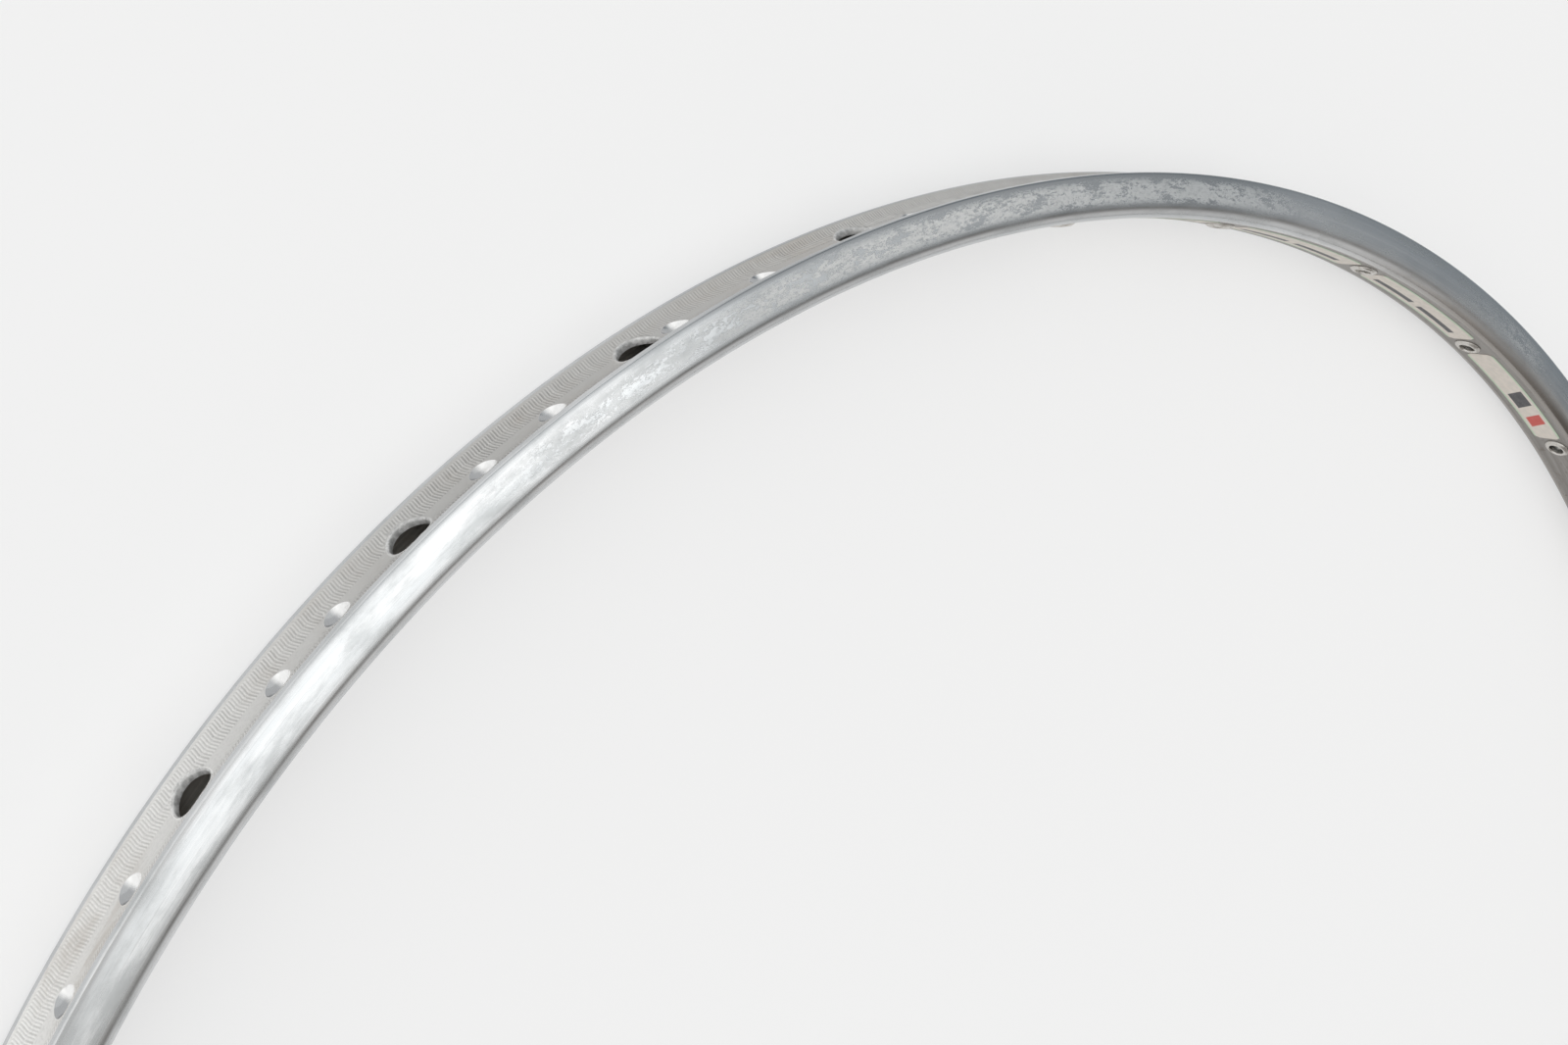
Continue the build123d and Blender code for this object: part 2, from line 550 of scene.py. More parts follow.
def build_cell(shell, cell):
    """All surfaces of the hoop round one spoke line."""
    bed_rings, roof_rings, hub_rings = rings_of(cell)
    fine = range(cell.first, cell.last + 1)
    sheet(shell, cell, bed_at, [bed_column(column, cell) for column in fine], bed_rings, "bed")
    sheet(shell, cell, roof_at, plain_columns(cell, roof_lines), roof_rings, "hollow")
    sheet(shell, cell, hub_at, plain_columns(cell, hub_lines), hub_rings, "hub")
    sheet(shell, cell, floor_at, plain_columns(cell, floor_lines), hub_rings, "hollow")
    for profile, finish in ((outside, "side"), (hollow, "hollow")):
        strip(shell, cell, profile, finish)
        strip(shell, cell, lower(profile), finish)
    for ring in bed_rings:
        if ring.open:
            hole_wall(shell, cell, ring, bed_at, roof_at, ring.steps[-1][1])
    for ring in hub_rings:
        hole_wall(shell, cell, ring, hub_at, floor_at, 0.0)


def weld(mesh):
    """Joins the patches and turns every face outwards."""
    working = bmesh.new()
    working.from_mesh(mesh)
    bmesh.ops.remove_doubles(working, verts=working.verts, dist=weld_distance)
    bmesh.ops.recalc_face_normals(working, faces=working.faces)
    working.to_mesh(mesh)
    working.free()


def shell_mesh(name, shell, finishes):
    """Closed, welded mesh of a shell, with its materials, texture places and heights above the bed."""
    mesh = bpy.data.meshes.new(name)
    mesh.from_pydata(shell.points, [], shell.faces)
    kinds = list(finishes)
    for kind in kinds:
        mesh.materials.append(finishes[kind])
    mesh.polygons.foreach_set("material_index", [kinds.index(finish) for finish in shell.finishes])
    corners = np.empty(len(mesh.loops), np.int64)
    mesh.loops.foreach_get("vertex_index", corners)
    layer = mesh.uv_layers.new(name="along_rim")
    layer.data.foreach_set("uv", np.array(shell.places)[corners].ravel())
    lift = mesh.attributes.new("lift", "FLOAT", "POINT")
    lift.data.foreach_set("value", shell.lifts)
    weld(mesh)
    mesh.shade_smooth()
    mesh.set_sharp_from_angle(angle=radians(40))
    return mesh


def hoop_quarter(number, finishes):
    """One quarter of the hoop, from eight cells and a cut face at each end."""
    shell = Shell()
    first = number * cells_in_quarter
    cells = [cell_at(index) for index in range(first, first + cells_in_quarter)]
    for cell in cells:
        build_cell(shell, cell)
    end_cap(shell, cells[0], cells[0].first)
    end_cap(shell, cells[-1], cells[-1].last)
    mesh = shell_mesh(f"hoop_quarter_{number + 1}", shell, finishes)
    piece = placed(mesh.name, mesh)
    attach(piece, "root")
    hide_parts("rim_hoop")


# Eyelets

def eyelet_profile():
    """Half outline of an eyelet: distance from its axis and height above the hub face."""
    seat = eyelet_clearance
    top = seat + eyelet_flange_height
    tail = -(spoke_wall + eyelet_clearance)
    clinch = tail - eyelet_flare_length
    bore, barrel, flange = eyelet_bore_radius, eyelet_barrel_radius, eyelet_flange_radius
    crown = [(bore, top - 0.42), (bore + 0.06, top - 0.2), (bore + 0.22, top - 0.06), (bore + 0.42, top)]
    crown += [(bore + 0.68, top - 0.07), (flange - 0.6, top - 0.26), (flange - 0.28, top - 0.46)]
    crown += [(flange - 0.06, seat + 0.26), (flange, seat + 0.1), (flange - 0.04, seat)]
    inside = [(barrel, seat), (barrel, tail), (barrel + eyelet_flare, clinch + 0.06)]
    inside += [(barrel + eyelet_flare - 0.06, clinch), (bore + 0.1, clinch), (bore, clinch + 0.1)]
    return crown + inside


def turned_faces(turns, count):
    """Faces between the copies of a closed outline of so many points, turned about an axis."""
    faces = []
    for turn in range(turns):
        here, there = turn * count, (turn + 1) % turns * count
        for row in range(count):
            above = (row + 1) % count
            faces.append((here + row, there + row, there + above, here + above))
    return faces


def eyelet(index, finish):
    """Pressed steel eyelet in its spoke hole."""
    angle = (index + 0.5) * 2 * pi / spoke_count
    inward = Vector((-cos(angle), -sin(angle), 0))
    side = Vector((0, 0, 1)).cross(inward)
    origin = Vector((hub_radius * cos(angle), hub_radius * sin(angle), spoke_height(index)))
    profile = eyelet_profile()
    points = []
    for turn in np.linspace(0, 2 * pi, eyelet_turns, endpoint=False):
        arm = side * cos(turn) + Vector((0, 0, 1)) * sin(turn)
        points += [tuple((origin + arm * radius + inward * rise) * MM) for radius, rise in profile]
    mesh = bpy.data.meshes.new(f"eyelet_dressed_{index + 1:02d}")
    mesh.from_pydata(points, [], turned_faces(eyelet_turns, len(profile)))
    mesh.materials.append(finish)
    weld(mesh)
    mesh.shade_smooth()
    mesh.set_sharp_from_angle(angle=radians(50))
    piece = placed(mesh.name, mesh)
    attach(piece, "root")
    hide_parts(f"eyelet_{index + 1:02d}")


# Materials

def new_material(name):
    """Empty node material with its output and main shader."""
    material = bpy.data.materials.new(name)
    material.use_nodes = True
    nodes = material.node_tree.nodes
    nodes.clear()
    output = nodes.new("ShaderNodeOutputMaterial")
    shader = nodes.new("ShaderNodeBsdfPrincipled")
    material.node_tree.links.new(shader.outputs["BSDF"], output.inputs["Surface"])
    return material, shader


def place_node(tree, source, scale):
    """Texture place, stretched by a scale along each direction."""
    coordinates = tree.nodes.new("ShaderNodeTexCoord")
    mapping = tree.nodes.new("ShaderNodeMapping")
    mapping.inputs["Scale"].default_value = scale
    tree.links.new(coordinates.outputs[source], mapping.inputs["Vector"])
    return mapping.outputs["Vector"]


def noise(tree, source, stretch, scale, detail, rough, distortion=0.0):
    """Cloudy pattern, from 0 to 1, stretched along each direction."""
    node = tree.nodes.new("ShaderNodeTexNoise")
    node.inputs["Scale"].default_value = scale
    node.inputs["Detail"].default_value = detail
    node.inputs["Roughness"].default_value = rough
    node.inputs["Distortion"].default_value = distortion
    tree.links.new(place_node(tree, source, stretch), node.inputs["Vector"])
    return node.outputs["Fac"]


def band(tree, value, low, high, out_low=0.0, out_high=1.0):
    """Maps a value from one range to another and holds it there, with soft ends."""
    node = tree.nodes.new("ShaderNodeMapRange")
    node.interpolation_type = "SMOOTHSTEP"
    node.inputs["From Min"].default_value = low
    node.inputs["From Max"].default_value = high
    node.inputs["To Min"].default_value = out_low
    node.inputs["To Max"].default_value = out_high
    tree.links.new(value, node.inputs["Value"])
    return node.outputs["Result"]


def maths(tree, operation, first, second):
    node = tree.nodes.new("ShaderNodeMath")
    node.operation = operation
    for socket, value in zip(node.inputs, (first, second)):
        if isinstance(value, (int, float)):
            socket.default_value = value
        else:
            tree.links.new(value, socket)
    return node.outputs["Value"]


def distance_from(tree, value, middle):
    """How far a value lies from a middle one, either way."""
    return maths(tree, "ABSOLUTE", maths(tree, "SUBTRACT", value, middle), 0.0)


def blend_colours(tree, share, first, second):
    """Colour between two colours or two colour outputs."""
    node = tree.nodes.new("ShaderNodeMix")
    node.data_type = "RGBA"
    for socket, value in ((node.inputs[6], first), (node.inputs[7], second)):
        if isinstance(value, tuple):
            socket.default_value = (*value, 1)
        else:
            tree.links.new(value, socket)
    tree.links.new(share, node.inputs[0])
    return node.outputs[2]


def relief(tree, shader, height, distance, strength):
    """Fine relief of the surface; the distance is in metres."""
    node = tree.nodes.new("ShaderNodeBump")
    node.inputs["Strength"].default_value = strength
    node.inputs["Distance"].default_value = distance
    tree.links.new(height, node.inputs["Height"])
    tree.links.new(node.outputs["Normal"], shader.inputs["Normal"])


# Where the oxide lies, in metres
chalky_place = (-0.167, 0.263, 0.01)  # heaviest round here
chalky_line = 0.3127  # distance from the wheel's axis to the middle of its belt


def near_point(tree, place, far, close):
    """Share that rises from 0 to 1 between two distances from a point, in metres."""
    distance = tree.nodes.new("ShaderNodeVectorMath")
    distance.operation = "DISTANCE"
    distance.inputs[1].default_value = place
    tree.links.new(place_node(tree, "Object", (1, 1, 1)), distance.inputs[0])
    return band(tree, distance.outputs["Value"], far, close)


def from_axis(tree):
    """Distance of a point from the wheel's axis, in metres."""
    length = tree.nodes.new("ShaderNodeVectorMath")
    length.operation = "LENGTH"
    tree.links.new(place_node(tree, "Object", (1, 1, 0)), length.inputs[0])
    return length.outputs["Value"]


def axes_of(tree, vector):
    """The X, Y and Z of a vector."""
    node = tree.nodes.new("ShaderNodeSeparateXYZ")
    tree.links.new(vector, node.inputs["Vector"])
    return node.outputs


def along_x(tree, low, high):
    """Share that rises from 0 to 1 between two places along X."""
    return band(tree, axes_of(tree, place_node(tree, "Object", (1, 1, 1)))["X"], low, high)


def chalky_share(tree):
    """Where the oxide has spread, from 0 to 1: along the middle of each side wall, in long areas."""
    area = noise(tree, "Object", (1, 1, 1), 9.0, 3.0, 0.55)
    here = near_point(tree, chalky_place, 0.115, 0.065)
    chalky = maths(tree, "MAXIMUM", here, band(tree, area, 0.48, 0.7, 0.03, 0.4))
    off_middle = distance_from(tree, from_axis(tree), chalky_line)
    return here, maths(tree, "MULTIPLY", chalky, band(tree, off_middle, 0.0037, 0.0014))


def oxide_share(tree, chalky):
    """Chalky patches, fine-grained and drawn out along the rim."""
    blotch = noise(tree, "UV", (105, 330, 1), 1.0, 8.0, 0.74, 0.2)
    grain = noise(tree, "UV", (700, 1300, 1), 1.0, 6.0, 0.85)
    ragged = maths(tree, "ADD", blotch, band(tree, grain, 0.3, 0.7, -0.10, 0.10))
    patches = maths(tree, "MULTIPLY", chalky, band(tree, ragged, 0.445, 0.50))
    return maths(tree, "MULTIPLY", patches, band(tree, grain, 0.38, 0.55, 0.2, 1.0))


def side_finish():
    """Worn polished aluminium: fine scratches, chalky oxide patches and painted shade along the inner
    corner towards +X.
    """
    material, shader = new_material("worn_aluminium_side")
    tree = material.node_tree
    scratches = noise(tree, "UV", (30, 4200, 1), 1.0, 5.0, 0.7)
    long_bands = noise(tree, "UV", (9, 700, 1), 1.0, 3.0, 0.5)
    cloud = noise(tree, "UV", (60, 200, 1), 1.0, 6.0, 0.65)
    tarnish, chalky = chalky_share(tree)
    oxide = oxide_share(tree, chalky)
    streaks = band(tree, long_bands, 0.35, 0.7)
    clean = blend_colours(tree, streaks, (0.585, 0.60, 0.61), (0.655, 0.66, 0.665))
    clouded = blend_colours(tree, band(tree, cloud, 0.42, 0.7), clean, (0.50, 0.515, 0.52))
    tarnish = maths(tree, "MULTIPLY", tarnish, band(tree, from_axis(tree), 0.3078, 0.3098, 0.4, 0.95))
    scratched = band(tree, scratches, 0.5, 0.8, 0.0, 0.6)
    darker = maths(tree, "MAXIMUM", scratched, tarnish)
    dull = blend_colours(tree, darker, clouded, (0.385, 0.40, 0.41))
    chalk = blend_colours(tree, along_x(tree, -0.19, -0.11), (0.70, 0.705, 0.70), (0.53, 0.545, 0.55))
    chalked = blend_colours(tree, oxide, dull, chalk)
    # Painted shade: the side's band next to the hub face is darkened from about X = -0.08 m onwards,
    # standing in for a dark reflection.
    corner = band(tree, from_axis(tree), 0.3082, 0.3066)
    painted_corner_shade = maths(tree, "MULTIPLY", corner, along_x(tree, -0.08, 0.02))
    tree.links.new(blend_colours(tree, painted_corner_shade, chalked, (0.31, 0.29, 0.27)), shader.inputs["Base Color"])
    tree.links.new(band(tree, oxide, 0.0, 1.0, 1.0, 0.3), shader.inputs["Metallic"])
    clouded_rough = band(tree, cloud, 0.3, 0.8, 0.17, 0.33)
    rough = maths(tree, "ADD", clouded_rough, maths(tree, "MULTIPLY", oxide, 0.35))
    tree.links.new(rough, shader.inputs["Roughness"])
    height = maths(tree, "ADD", maths(tree, "MULTIPLY", scratches, 0.5), oxide)
    relief(tree, shader, height, 0.00004, 0.35)
    return material


def hub_finish():
    """Hub-side face: darker, duller and browner than the sides, with smears along it."""
    material, shader = new_material("dark_aluminium_hub_face")
    tree = material.node_tree
    smears = noise(tree, "UV", (40, 700, 1), 1.0, 5.0, 0.65)
    spots = noise(tree, "Object", (1, 1, 1), 300.0, 5.0, 0.65)
    metal = blend_colours(tree, band(tree, smears, 0.35, 0.7), (0.23, 0.215, 0.20), (0.34, 0.325, 0.31))
    colour = blend_colours(tree, band(tree, spots, 0.55, 0.75), metal, (0.17, 0.145, 0.125))
    tree.links.new(colour, shader.inputs["Base Color"])
    tree.links.new(band(tree, spots, 0.5, 0.75, 0.9, 0.5), shader.inputs["Metallic"])
    tree.links.new(band(tree, smears, 0.3, 0.8, 0.32, 0.5), shader.inputs["Roughness"])
    relief(tree, shader, smears, 0.00003, 0.4)
    return material


def lift_share(tree, low, high):
    """How far a point stands above the bed, from 0 in the grooves to 1 on the ridges."""
    node = tree.nodes.new("ShaderNodeAttribute")
    node.attribute_name = "lift"
    return band(tree, node.outputs["Fac"], low, high)


def bed_finish():
    """Rolled tyre bed: satin ridges with painted highlights, grooves darkened as painted shade, both
    turning much lighter towards -X as a painted reflection, and a faint brown film of old glue.
    """
    material, shader = new_material("rolled_aluminium_bed")
    tree = material.node_tree
    grain = noise(tree, "Object", (1, 1, 1), 1600.0, 4.0, 0.6)
    film = noise(tree, "Object", (1, 1, 1), 22.0, 4.0, 0.6)
    stain = noise(tree, "UV", (60, 220, 1), 1.0, 6.0, 0.7, 0.6)
    # Painted highlight and shade: ridges take a lighter colour and grooves a darker one, so the
    # serrations show.
    ridge = lift_share(tree, -0.10, 0.10)
    # Painted reflection: towards -X the ridges and grooves both turn much lighter, standing in for the
    # reflected light of the near side.
    painted_reflection_share = along_x(tree, -0.270, -0.322)
    groove_painted_shade = blend_colours(tree, painted_reflection_share, (0.40, 0.395, 0.385), (0.66, 0.655, 0.64))
    crest_painted_highlight = blend_colours(tree, painted_reflection_share, (0.63, 0.625, 0.61), (0.99, 0.985, 0.97))
    metal = blend_colours(tree, ridge, groove_painted_shade, crest_painted_highlight)
    grained = band(tree, grain, 0.4, 0.8, 0.0, 0.35)
    clean = blend_colours(tree, grained, metal, (0.46, 0.455, 0.445))
    stained = band(tree, stain, 0.42, 0.7, 0.1, 0.6)
    brown = maths(tree, "MULTIPLY", band(tree, film, 0.42, 0.68), stained)
    tree.links.new(blend_colours(tree, brown, clean, (0.42, 0.37, 0.32)), shader.inputs["Base Color"])
    bare = band(tree, brown, 0.0, 1.0, 0.92, 0.5)
    # The same painted reflection band is also made less metallic, a painted sheen.
    wear_and_painted_sheen = maths(tree, "MULTIPLY", painted_reflection_share, 0.35)
    tree.links.new(maths(tree, "SUBTRACT", bare, wear_and_painted_sheen), shader.inputs["Metallic"])
    tree.links.new(band(tree, ridge, 0.0, 1.0, 0.5, 0.3), shader.inputs["Roughness"])
    relief(tree, shader, maths(tree, "ADD", grain, brown), 0.00003, 0.5)
    return material


def slope_along(tree):
    """Slope of the surface along the rim: above 0 where it faces away from the valve."""
    coordinates = tree.nodes.new("ShaderNodeTexCoord")
    turned = tree.nodes.new("ShaderNodeVectorMath")
    turned.operation = "CROSS_PRODUCT"
    tree.links.new(coordinates.outputs["Normal"], turned.inputs[0])
    tree.links.new(coordinates.outputs["Object"], turned.inputs[1])
    slope = axes_of(tree, turned.outputs["Vector"])["Z"]
    return maths(tree, "MULTIPLY", slope, -1 / (bed_radius * MM))


def pressed_finish():
    """Marks pressed into the bed: a painted highlight on the wall that faces away from the valve, and
    painted shade, grey, on the wall that faces it.
    """
    material, shader = new_material("pressed_mark_painted_highlight")
    tree = material.node_tree
    scratches = noise(tree, "UV", (500, 3200, 1), 1.0, 4.0, 0.6)
    cloud = noise(tree, "Object", (1, 1, 1), 420.0, 3.0, 0.6)
    # Painted highlight and shade: the colour turns near-white where the surface slopes away from the
    # valve and grey where it slopes towards it.
    bright = band(tree, slope_along(tree), -0.12, 0.25)
    painted_highlight_and_shade = blend_colours(tree, bright, (0.42, 0.43, 0.44), (0.96, 0.96, 0.955))
    colour = blend_colours(tree, band(tree, cloud, 0.5, 0.8, 0.0, 0.5), painted_highlight_and_shade, (0.50, 0.495, 0.48))
    tree.links.new(colour, shader.inputs["Base Color"])
    # The painted highlight side is also made less metallic, so it reads lighter.
    tree.links.new(band(tree, bright, 0.0, 1.0, 0.95, 0.45), shader.inputs["Metallic"])
    tree.links.new(band(tree, scratches, 0.35, 0.8, 0.10, 0.24), shader.inputs["Roughness"])
    relief(tree, shader, scratches, 0.00002, 0.4)
    return material


def cut_finish():
    """Drilled and burred edges, brighter than the rest and slightly torn."""
    material, shader = new_material("drilled_aluminium_edge")
    tree = material.node_tree
    grain = noise(tree, "Object", (900, 900, 900), 1.0, 4.0, 0.6)
    colour = blend_colours(tree, band(tree, grain, 0.35, 0.7), (0.44, 0.44, 0.435), (0.74, 0.74, 0.73))
    tree.links.new(colour, shader.inputs["Base Color"])
    shader.inputs["Metallic"].default_value = 0.4
    tree.links.new(band(tree, grain, 0.3, 0.75, 0.28, 0.5), shader.inputs["Roughness"])
    relief(tree, shader, grain, 0.00012, 0.7)
    return material


def hollow_finish():
    """Inside of the extrusion: dull, with warm brown blotches, partly old oil and dirt and partly a
    painted warm reflection.
    """
    material, shader = new_material("dull_aluminium_hollow")
    tree = material.node_tree
    streaks = noise(tree, "UV", (12, 1500, 1), 1.0, 4.0, 0.6)
    dust_and_painted_warmth = noise(tree, "Object", (1, 1, 1), 160.0, 5.0, 0.65)
    clean = blend_colours(tree, band(tree, streaks, 0.35, 0.7), (0.36, 0.35, 0.33), (0.50, 0.48, 0.45))
    # Partly painted warm reflection: the blotches turn the colour warm brown, standing in for warm light
    # reflected inside the hollow as well as for oil and dirt.
    colour = blend_colours(tree, band(tree, dust_and_painted_warmth, 0.5, 0.75), clean, (0.42, 0.35, 0.28))
    tree.links.new(colour, shader.inputs["Base Color"])
    shader.inputs["Metallic"].default_value = 0.75
    tree.links.new(band(tree, streaks, 0.3, 0.75, 0.38, 0.6), shader.inputs["Roughness"])
    relief(tree, shader, streaks, 0.00004, 0.5)
    return material


def steel_finish():
    """Plated steel of the eyelets, with darker spots of wear."""
    material, shader = new_material("plated_steel_eyelet")
    tree = material.node_tree
    spots = noise(tree, "Object", (1, 1, 1), 700.0, 5.0, 0.65)
    area = noise(tree, "Object", (1, 1, 1), 60.0, 3.0, 0.5)
    wear_and_painted_sheen = maths(tree, "MULTIPLY", band(tree, spots, 0.5, 0.68), band(tree, area, 0.4, 0.65))
    colour = blend_colours(tree, wear_and_painted_sheen, (0.62, 0.60, 0.57), (0.30, 0.25, 0.20))
    tree.links.new(colour, shader.inputs["Base Color"])
    tree.links.new(band(tree, wear_and_painted_sheen, 0.0, 1.0, 1.0, 0.55), shader.inputs["Metallic"])
    tree.links.new(band(tree, spots, 0.3, 0.7, 0.2, 0.42), shader.inputs["Roughness"])
    relief(tree, shader, spots, 0.00003, 0.4)
    return material


def sleeve_finish():
    """Extruded sleeve inside the butt joint."""
    material, shader = new_material("extruded_aluminium_sleeve")
    tree = material.node_tree
    lines = noise(tree, "Object", (200, 200, 2600), 1.0, 4.0, 0.6)
    colour = blend_colours(tree, band(tree, lines, 0.35, 0.7), (0.52, 0.52, 0.53), (0.66, 0.66, 0.67))
    tree.links.new(colour, shader.inputs["Base Color"])
    shader.inputs["Metallic"].default_value = 1.0
    tree.links.new(band(tree, lines, 0.3, 0.75, 0.3, 0.5), shader.inputs["Roughness"])
    relief(tree, shader, lines, 0.00004, 0.4)
    return material


# Plain label strips on the hub face

label_length = 50.0
label_width = 8.8
label_thickness = 0.1
label_corner = 1.6
label_gap = 0.01  # between the film and the hub face
label_columns = 60
label_lines = 8
# Middle, width and ink of each bar
print_blocks = ((0.16, 0.10, (0.58, 0.07, 0.05)), (0.40, 0.16, (0.045, 0.045, 0.05)))
label_strips = (("bars", 6), ("line_1", 7), ("line_2", 8), ("line_3", 9))  # names and gaps


def print_lines(tree, u, v, paper):
    """Two dark dashes, end to end."""
    mark = band(tree, distance_from(tree, v, 0.34), 0.12, 0.10)
    from_middle = distance_from(tree, u, 0.5)
    ends = band(tree, from_middle, 0.42, 0.41)
    dashes = maths(tree, "MULTIPLY", ends, band(tree, from_middle, 0.03, 0.04))
    return blend_colours(tree, maths(tree, "MULTIPLY", mark, dashes), paper, (0.05, 0.05, 0.055))


def print_bars(tree, u, v, paper):
    """A red and a dark bar, both slanted."""
    slanted = maths(tree, "SUBTRACT", u, maths(tree, "MULTIPLY", v, 0.08))
    inset = band(tree, distance_from(tree, v, 0.5), 0.33, 0.31)
    colour = paper
    for middle, width, ink in print_blocks:
        across = band(tree, distance_from(tree, slanted, middle), width / 2 + 0.004, width / 2)
        colour = blend_colours(tree, maths(tree, "MULTIPLY", across, inset), colour, ink)
    return colour


def label_finish(name, motif):
    """Old printed film: cream with a pale green edge, and a plain motif."""
    material, shader = new_material(name)
    tree = material.node_tree
    coordinates = tree.nodes.new("ShaderNodeTexCoord")
    axes = axes_of(tree, coordinates.outputs["UV"])
    u, v = axes["X"], axes["Y"]
    fade = noise(tree, "UV", (6, 2, 1), 3.0, 5.0, 0.6)
    paper = blend_colours(tree, band(tree, fade, 0.3, 0.75), (0.74, 0.67, 0.60), (0.64, 0.60, 0.54))
    edge = band(tree, distance_from(tree, v, 0.5), 0.40, 0.46)
    printed = motif(tree, u, v, blend_colours(tree, edge, paper, (0.50, 0.62, 0.47)))
    chips = noise(tree, "UV", (30, 6, 1), 4.0, 6.0, 0.7)
    wear_and_painted_sheen = band(tree, chips, 0.62, 0.68)
    tree.links.new(blend_colours(tree, wear_and_painted_sheen, printed, (0.62, 0.62, 0.60)), shader.inputs["Base Color"])
    tree.links.new(band(tree, fade, 0.3, 0.7, 0.34, 0.5), shader.inputs["Roughness"])
    relief(tree, shader, wear_and_painted_sheen, 0.00005, 0.5)
    return material


def label_points(middle):
    """Points in metres and texture places of a label with rounded corners, row by row along it."""
    radius = hub_radius - label_thickness / 2 - label_gap
    points, places = [], []
    for column in range(label_columns + 1):
        u = column / label_columns
        end = min(u, 1 - u) * label_length
        inset = label_corner - sqrt(max(label_corner**2 - max(label_corner - end, 0) ** 2, 0))
        half = label_width / 2 - inset
        angle = middle + (u - 0.5) * label_length / hub_radius
        for line in range(label_lines + 1):
            z = half * (2 * line / label_lines - 1)
            points.append((radius * cos(angle) * MM, radius * sin(angle) * MM, z * MM))
            places.append((u, 0.5 + z / label_width))
    return points, places


def label(name, gap, finish):
    """Thin film on the hub face, midway between two spoke holes."""
    points, places = label_points((gap + 1) * 2 * pi / spoke_count)
    faces = []
    for column in range(label_columns):
        for line in range(label_lines):
            corner = column * (label_lines + 1) + line
            faces.append((corner, corner + 1, corner + label_lines + 2, corner + label_lines + 1))
    mesh = bpy.data.meshes.new(name)
    mesh.from_pydata(points, [], faces)
    layer = mesh.uv_layers.new(name="print")
    for loop in mesh.loops:
        layer.data[loop.index].uv = places[loop.vertex_index]
    mesh.materials.append(finish)
    piece = placed(name, mesh)
    film = piece.modifiers.new("film", "SOLIDIFY")
    film.thickness = label_thickness * MM
    film.offset = 0
    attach(piece, "root")


# Stage

floor_height = -rim_width / 2 * MM
camera_place = Vector((-0.4500529, 0.1494387, 0.3295112))
camera_right = Vector((0.73035043, 0.32611569, 0.6001973))
camera_down = Vector((0.29795028, -0.94277148, 0.14969154))
camera_lens = 43.714
camera_turn = 0.11  # degrees about the rim's axis, which brings the drilled holes into place
floor_reach = 8.0
lamp_place = (-0.9, -0.4, 2.6)
lamp_size = 2.4
lamp_power = 4


def studio_camera():
    """Camera that sees the rim as the photograph does."""
    camera = placed("camera", bpy.data.cameras.new("camera"))
    camera.data.lens = camera_lens
    camera.data.sensor_width = 36.0
    camera.data.clip_start = 0.02
    forward = camera_right.cross(camera_down)
    turn = Matrix((camera_right, -camera_down, -forward)).transposed()
    about_rim = Matrix.Rotation(radians(camera_turn), 4, "Z")
    camera.matrix_world = about_rim @ Matrix.Translation(camera_place) @ turn.to_4x4()
    bpy.context.scene.camera = camera


def studio_floor():
    """Pale matt floor."""
    mesh = bpy.data.meshes.new("floor")
    outline = ((-1, -1), (1, -1), (1, 1), (-1, 1))
    corners = [(x * floor_reach, y * floor_reach, floor_height) for x, y in outline]
    mesh.from_pydata(corners, [], [(0, 1, 2, 3)])
    material, shader = new_material("pale_floor")
    tree = material.node_tree
    cloud = noise(tree, "Object", (1, 1, 1), 1.2, 2.0, 0.4)
    colour = blend_colours(tree, cloud, (0.455, 0.455, 0.455), (0.475, 0.475, 0.475))
    tree.links.new(colour, shader.inputs["Base Color"])
    shader.inputs["Emission Color"].default_value = (1, 1, 1, 1)
    shader.inputs["Emission Strength"].default_value = 0.50
    shader.inputs["Roughness"].default_value = 0.9
    shader.inputs["Specular IOR Level"].default_value = 0.1
    mesh.materials.append(material)
    floor = placed("floor", mesh)


# Directions from the rim to the bright parts of the room
room_light = (0.295, 0.321, 0.90)
window_light = (0.36, 0.045, 0.93)
backdrop = (0.93, -0.30, 0.05)


def towards(tree, direction, aim, wide, narrow):
    """Share that rises from 0 to 1 as a direction turns towards an aim."""
    turned = tree.nodes.new("ShaderNodeVectorMath")
    turned.operation = "DOT_PRODUCT"
    turned.inputs[1].default_value = Vector(aim).normalized()
    tree.links.new(direction, turned.inputs[0])
    return band(tree, turned.outputs["Value"], wide, narrow)


def room_colours(tree):
    """Colour of the room in each direction, which lights the rim and shows in it."""
    direction = tree.nodes.new("ShaderNodeTexCoord").outputs["Generated"]
    axes = axes_of(tree, direction)
    side = band(tree, axes["Y"], -0.1, 0.4)
    dim_walls = blend_colours(tree, side, (0.25, 0.235, 0.22), (0.28, 0.31, 0.335))
    far = towards(tree, direction, backdrop, 0.79, 0.97)
    walls = blend_colours(tree, far, dim_walls, (0.80, 0.79, 0.78))
    above = towards(tree, direction, room_light, 0.79, 0.997)
    ceiling = blend_colours(tree, above, walls, (0.70, 0.71, 0.72))
    near = band(tree, axes["X"], 0.02, -0.5)
    room = blend_colours(tree, near, ceiling, (1.12, 1.12, 1.11))
    window = towards(tree, direction, window_light, 0.895, 1.0)
    return blend_colours(tree, window, room, (1.78, 1.79, 1.78))


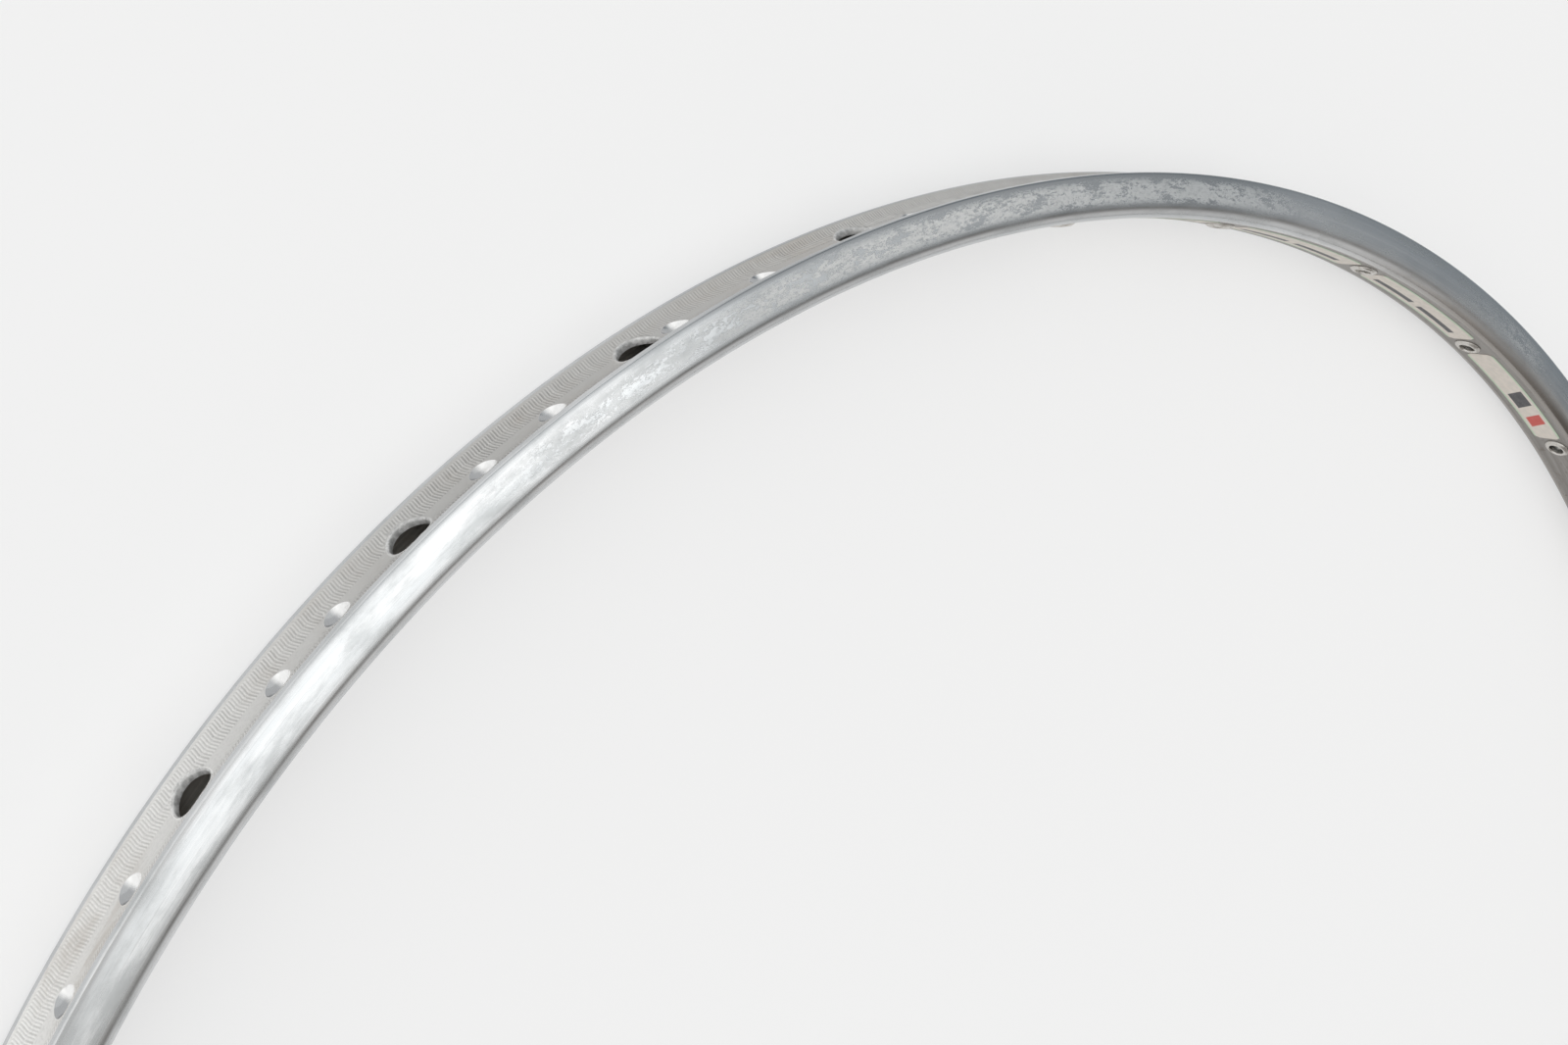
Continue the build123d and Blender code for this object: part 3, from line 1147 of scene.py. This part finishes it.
def studio_world():
    """Soft light of a room with a window overhead; the camera sees a plain pale background."""
    world = bpy.data.worlds.new("room")
    bpy.context.scene.world = world
    world.use_nodes = True
    tree = world.node_tree
    tree.nodes.clear()
    lit = tree.nodes.new("ShaderNodeBackground")
    tree.links.new(room_colours(tree), lit.inputs["Color"])
    seen = tree.nodes.new("ShaderNodeBackground")
    seen.inputs["Color"].default_value = (0.87, 0.87, 0.88, 1)
    switch = tree.nodes.new("ShaderNodeMixShader")
    path = tree.nodes.new("ShaderNodeLightPath")
    output = tree.nodes.new("ShaderNodeOutputWorld")
    tree.links.new(path.outputs["Is Camera Ray"], switch.inputs["Fac"])
    tree.links.new(lit.outputs["Background"], switch.inputs[1])
    tree.links.new(seen.outputs["Background"], switch.inputs[2])
    tree.links.new(switch.outputs["Shader"], output.inputs["Surface"])


def soft_light(name, place, size, power):
    """Round lamp that faces the middle of the rim."""
    light = bpy.data.lights.new(name, "AREA")
    light.shape = "DISK"
    light.size = size
    light.energy = power
    lamp = placed(name, light)
    aim = (-Vector(place)).to_track_quat("-Z", "Y")
    lamp.matrix_world = Matrix.Translation(place) @ aim.to_matrix().to_4x4()


def build_scene():
    """The rim, the floor it lies on, the light of the room and the camera."""
    finishes = {"side": side_finish(), "bed": bed_finish(), "cut": cut_finish(),
                "pressed": pressed_finish(), "hollow": hollow_finish(), "hub": hub_finish()}
    for number in range(quarters):
        hoop_quarter(number, finishes)
    steel = steel_finish()
    for index in range(spoke_count):
        eyelet(index, steel)
    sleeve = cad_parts["joint_sleeve"]
    sleeve.data.materials.clear()
    sleeve.data.materials.append(sleeve_finish())
    lines = label_finish("printed_film_line", print_lines)
    bars = label_finish("printed_film_bars", print_bars)
    for name, gap in label_strips:
        label(f"label_strip_{name}", gap, bars if name == "bars" else lines)
    studio_floor()
    studio_world()
    soft_light("overhead", lamp_place, lamp_size, lamp_power)
    studio_camera()


build_scene()
bpy.context.scene.view_settings.view_transform = "Standard"
bpy.context.view_layer.update()
